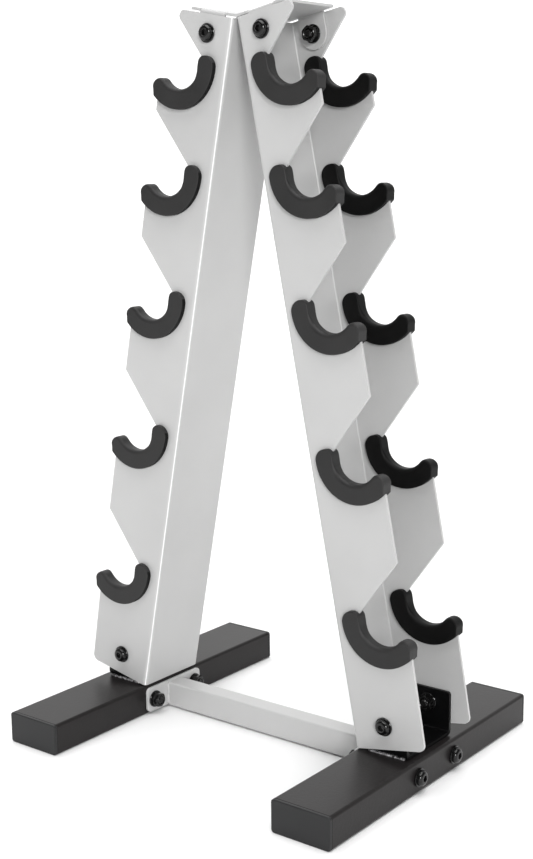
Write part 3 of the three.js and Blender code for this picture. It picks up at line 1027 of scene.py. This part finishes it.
def top_bracket_blank():
    """The blank's upper and outer face: two wings that meet in a small fold, and four ears."""
    bm = bmesh.new()
    left, right = wing(bm, -1), wing(bm, 1)
    fold_radius = fold_reach * math.cos(lean) / math.sin(lean)
    fold_z = out_of_upright(wing_start, over_upright).y + fold_radius * math.cos(lean)
    flat_side = bracket_side - ear_bend
    grid = [left]
    for k in range(1, 6):
        angle = lean * (k / 3 - 1)
        x, z = fold_radius * math.sin(angle), fold_z - fold_radius * math.cos(angle)
        ys = (-bracket_side, -flat_side, flat_side, bracket_side)
        grid.append([bm.verts.new((x, y, z)) for y in ys])
    grid.append(right)
    for first, second in zip(grid, grid[1:]):
        for k in range(3):
            bm.faces.new((first[k], second[k], second[k + 1], first[k + 1]))
    bmesh.ops.remove_doubles(bm, verts=bm.verts, dist=0.001)
    bmesh.ops.recalc_face_normals(bm, faces=bm.faces)
    widest = max(bm.faces, key=lambda face: face.calc_area())
    face_like(bm, widest, (0, 0, 1))
    return to_mesh("top bracket blank", bm, frame_paint)


top_bracket = add_object("top_bracket_blank", top_bracket_blank())
thicken(top_bracket, top_sheet, top_edge)
fit(top_bracket, "top_bracket")


# ---- Bolts ----
# Twelve M8 button-head bolts with hexagon sockets and plain washers, all in glossy black. They
# go in from outside, and their rolled threads run through the sheet and the nut.
bolt_radius = 4
head_radius = 7
head_height = 4.4
head_skirt = 1.1
crown_flat = 3.6
socket_across_flats = 5
washer_radius = 8.4
washer_thickness = 1.6
washer_edge = 0.3
nut_height = 6.5
thread_pitch = 1.25
thread_depth = 0.62
thread_length = 16
thread_past_nut = 0.8
ring_steps = 48


def black_oxide():
    """Glossy black plating over steel, faintly streaked, worn towards bare metal on sharp edges."""
    material, wire, shader = new_finish("glossy black steel", IOR=1.45)
    smears = wire.grain(160, 4, 0.6)
    edge = wire.edges(0.0005)
    tone = smears.ramp(0.3, 0.7)
    black = tone.blend((0.002, 0.002, 0.002, 1), (0.005, 0.005, 0.005, 1))
    drive(
        shader,
        Base_Color=(edge * 0.4).blend(black, (0.05, 0.05, 0.05, 1)),
        Roughness=0.14 + (smears - 0.5) * 0.12,
        Normal=bumps(wire, wire.grain(1400, 2), 0.00003),
    )
    return material


black_steel = black_oxide()


def round_ring(radius, y):
    turns = [math.tau * k / ring_steps for k in range(ring_steps)]
    return [(radius * math.cos(a), y, radius * math.sin(a)) for a in turns]


def hexagon_ring(across_flats, y, corner=math.inf):
    """A hexagon with as many points as the round rings; its corners are cut back to a radius."""
    ring = []
    for k in range(ring_steps):
        angle = math.tau * k / ring_steps
        from_flat = (angle + math.pi / 6) % (math.pi / 3) - math.pi / 6
        radius = min(corner, across_flats / 2 / math.cos(from_flat))
        ring.append((radius * math.cos(angle), y, radius * math.sin(angle)))
    return ring


def thread_ring(y):
    """One ring of a rolled thread, whose crest climbs round it by one pitch."""
    ring = []
    for k in range(ring_steps):
        angle = math.tau * k / ring_steps
        phase = (y / thread_pitch + k / ring_steps) % 1
        radius = bolt_radius - thread_depth * (1 - abs(2 * phase - 1))
        ring.append((radius * math.cos(angle), y, radius * math.sin(angle)))
    return ring


def washer_rings(start, end):
    return [
        round_ring(washer_radius - washer_edge, start),
        round_ring(washer_radius, start + washer_edge),
        round_ring(washer_radius, end - washer_edge),
        round_ring(washer_radius - washer_edge, end),
    ]


def button_bolt(grip):
    """Along +Y: the head lies before 0, where the washer seats, and the thread's tail ends last."""
    crown_base = -washer_thickness - head_skirt
    crown = head_height - head_skirt
    socket = [
        hexagon_ring(socket_across_flats - 0.4, crown_base - 0.6),
        hexagon_ring(socket_across_flats, crown_base - 0.9),
        hexagon_ring(socket_across_flats, crown_base - crown + 0.35),
        hexagon_ring(socket_across_flats + 0.5, crown_base - crown + 0.05),
    ]
    dome = []
    for k in range(13):
        angle = math.pi / 2 * k / 12
        radius = crown_flat + (head_radius - crown_flat) * math.sin(angle)
        dome.append(round_ring(radius, crown_base - crown * math.cos(angle) ** 0.9))
    skirt = [
        round_ring(head_radius, crown_base + 0.8),
        round_ring(head_radius - 0.25, -washer_thickness - 0.05),
    ]
    tail = grip + nut_height + washer_thickness + thread_past_nut
    thread_start = max(1.0, tail - thread_length)
    shank = [round_ring(bolt_radius, 0.02), round_ring(bolt_radius, thread_start - 0.5)]
    rings_per_turn = 6
    plain_tip = 0.8
    thread_rings = int((tail - plain_tip - thread_start) / thread_pitch * rings_per_turn) + 1
    thread = [
        thread_ring(thread_start + k * thread_pitch / rings_per_turn) for k in range(thread_rings)
    ]
    tip = [round_ring(3.2, tail - 0.3), round_ring(2.9, tail)]
    rings = socket + dome + skirt + washer_rings(-washer_thickness, 0) + shank + thread + tip
    return solid_mesh("button bolt", rings, black_steel, sharp=34)


bolt_kinds = {
    "upper": (sheet + clearance + top_sheet, leaning, *upper_bolt_in_flange),
    "lower": (sheet + clearance + bracket_sheet, on_foot, 0, lower_bolt_z),
}


def seats():
    """Each fastener's node name, the thickness it grips, and its placing, +Y from head to nut."""
    for side, turn in half_turns.items():
        for end, sign in end_signs[side].items():
            facing = Matrix.Rotation(math.pi if sign > 0 else 0, 4, "Z")
            for kind, (grip, holder, x, z) in bolt_kinds.items():
                at = Matrix.Translation((x * MM, sign * upright_width / 2 * MM, z * MM))
                yield f"{side}_{end}_{kind}", grip, turn @ holder @ at @ facing
            at = (foot_width / 2 * MM, sign * crossbar_bolt_y * MM, crossbar_bolt_z * MM)
            across = Matrix.Translation(at) @ Matrix.Rotation(math.pi / 2, 4, "Z")
            grip = foot_width + clearance + plate_thickness
            yield f"{side}_{end}_crossbar", grip, turn @ on_foot @ across


def spun(name):
    """A turn about the fastener's own axis, different for each, as spanners leave them."""
    return Matrix.Rotation(sum(map(ord, name)) * 0.7, 4, "Y")


bolt_meshes = {}
for name, grip, placing in seats():
    if grip not in bolt_meshes:
        bolt_meshes[grip] = button_bolt(grip + 2 * clearance)
    raised = Matrix.Translation((0, -clearance * MM, 0))
    bolt = add_object(f"{name}_bolt_m8", bolt_meshes[grip], placing @ raised @ spun(name))
    fit(bolt, f"{name}_bolt")


# ---- Nuts ----
# Twelve hexagon nuts, 13 mm across flats with chamfered corners, each on a plain washer, in the
# same glossy black. They sit inside the brackets' ears and behind the crossbar's plates.
nut_across_flats = 13
nut_chamfer = 0.5
nut_bore = 4.3


def washered_nut():
    """Along +Y: the washer seats at 0 and the nut follows it."""
    corner = nut_across_flats / 2 / math.cos(math.pi / 6) - 0.05
    cut_corner = corner - nut_chamfer
    start, end = washer_thickness, washer_thickness + nut_height
    rings = [
        round_ring(nut_bore, 0),
        *washer_rings(0, washer_thickness),
        hexagon_ring(nut_across_flats, start + 0.02, cut_corner),
        hexagon_ring(nut_across_flats, start + 0.5, corner),
        hexagon_ring(nut_across_flats, end - 0.7, corner),
        hexagon_ring(nut_across_flats, end - 0.25, cut_corner),
        round_ring(nut_across_flats / 2 - 0.25, end),
        round_ring(nut_bore + 0.6, end),
        round_ring(nut_bore, end - 0.5),
    ]
    return solid_mesh("washered nut", rings, black_steel, closed=True, sharp=28)


nut_mesh = washered_nut()
for name, grip, placing in seats():
    seated = Matrix.Translation((0, (grip + clearance) * MM, 0))
    nut = add_object(f"{name}_nut_m8", nut_mesh, placing @ seated @ spun(name + "nut"))
    fit(nut, f"{name}_nut")


# ---- Room ----
# A plain pale floor that runs out of sight. The light is a wide soft one from above, a key from
# the front right, a faint one from the front left, and the glow of the walls round the room,
# which is brightest behind the rack.
floor_reach = 9000


def room_floor():
    """A grid of plain squares, level with the feet's undersides."""
    bm = bmesh.new()
    bmesh.ops.create_grid(bm, x_segments=12, y_segments=12, size=floor_reach)
    pale = {"Base_Color": (0.9, 0.9, 0.9, 1), "Roughness": 0.6, "Specular_IOR_Level": 0.2}
    return to_mesh("floor", bm, new_finish("pale floor", **pale)[0])


add_object("floor", room_floor())

world = bpy.data.worlds.new("soft room")
bpy.context.scene.world = world
world.use_nodes = True
room = Wire(world.node_tree)
outlook = room.node("TexCoord", output="Generated")
behind_rack = (-0.595, 0.764, 0.25)
glow = (1.3, 1.3, 1.3, 1)
low_walls = (0.5, 0.5, 0.5, 1)
dim_ceiling = (0.06, 0.06, 0.06, 1)
facing_back = outlook.node(
    "VectorMath", {"operation": "DOT_PRODUCT"}, {0: outlook, 1: behind_rack}, output="Value"
)
height = room.node("SeparateXYZ", {}, {"Vector": outlook}, output=2)
all_round = height.ramp(0.12, 0.32).blend(low_walls, dim_ceiling)
room_light = facing_back.ramp(0.3, 0.75).blend(all_round, glow)
background = world.node_tree.nodes["Background"]
world.node_tree.links.new(room_light.socket, background.inputs["Color"])
background.inputs["Strength"].default_value = 1.0


def soft_sun(name, towards, strength, spread):
    """An even light from a wide disc: towards points from the rack to it."""
    light = bpy.data.lights.new(name, "SUN")
    light.energy = strength
    light.angle = math.radians(spread)
    made = bpy.data.objects.new(name, light)
    bpy.context.scene.collection.objects.link(made)
    made.rotation_mode = "QUATERNION"
    made.rotation_quaternion = Vector(towards).to_track_quat("Z", "Y")


soft_sun("right key", (0.75, -0.72, 0.32), 1.85, 18)
soft_sun("left glint", (-0.5, -0.85, 0.3), 0.06, 8)
soft_sun("overhead", (0.1, -0.1, 1.0), 2.9, 60)

bpy.context.scene.view_settings.view_transform = "Standard"
bpy.context.scene.view_settings.look = "None"


# ---- Camera ----
# It stands before the rack's front right corner, a little lower than the rack's top, and looks
# a little down at it through a lens of about 59 mm on a frame that is 36 mm high.
camera_yaw = 0.66154
camera_pitch = -0.19016
camera_roll = -0.01149
camera_place = Vector((0.79549, -1.02275, 0.54946))
frame_size = 36
focal_length = 59.1812

forward = Vector((
    -math.sin(camera_yaw) * math.cos(camera_pitch),
    math.cos(camera_yaw) * math.cos(camera_pitch),
    math.sin(camera_pitch),
))
level_right = Vector((math.cos(camera_yaw), math.sin(camera_yaw), 0))
level_up = level_right.cross(forward)
right = math.cos(camera_roll) * level_right + math.sin(camera_roll) * level_up
up = -math.sin(camera_roll) * level_right + math.cos(camera_roll) * level_up
turned = Matrix((right, up, -forward)).transposed().to_4x4()

lens = bpy.data.cameras.new("camera")
lens.sensor_width = frame_size
lens.lens = focal_length
lens.clip_end = 60
camera = bpy.data.objects.new("camera", lens)
bpy.context.scene.collection.objects.link(camera)
camera.matrix_world = Matrix.Translation(camera_place) @ turned
bpy.context.scene.camera = camera
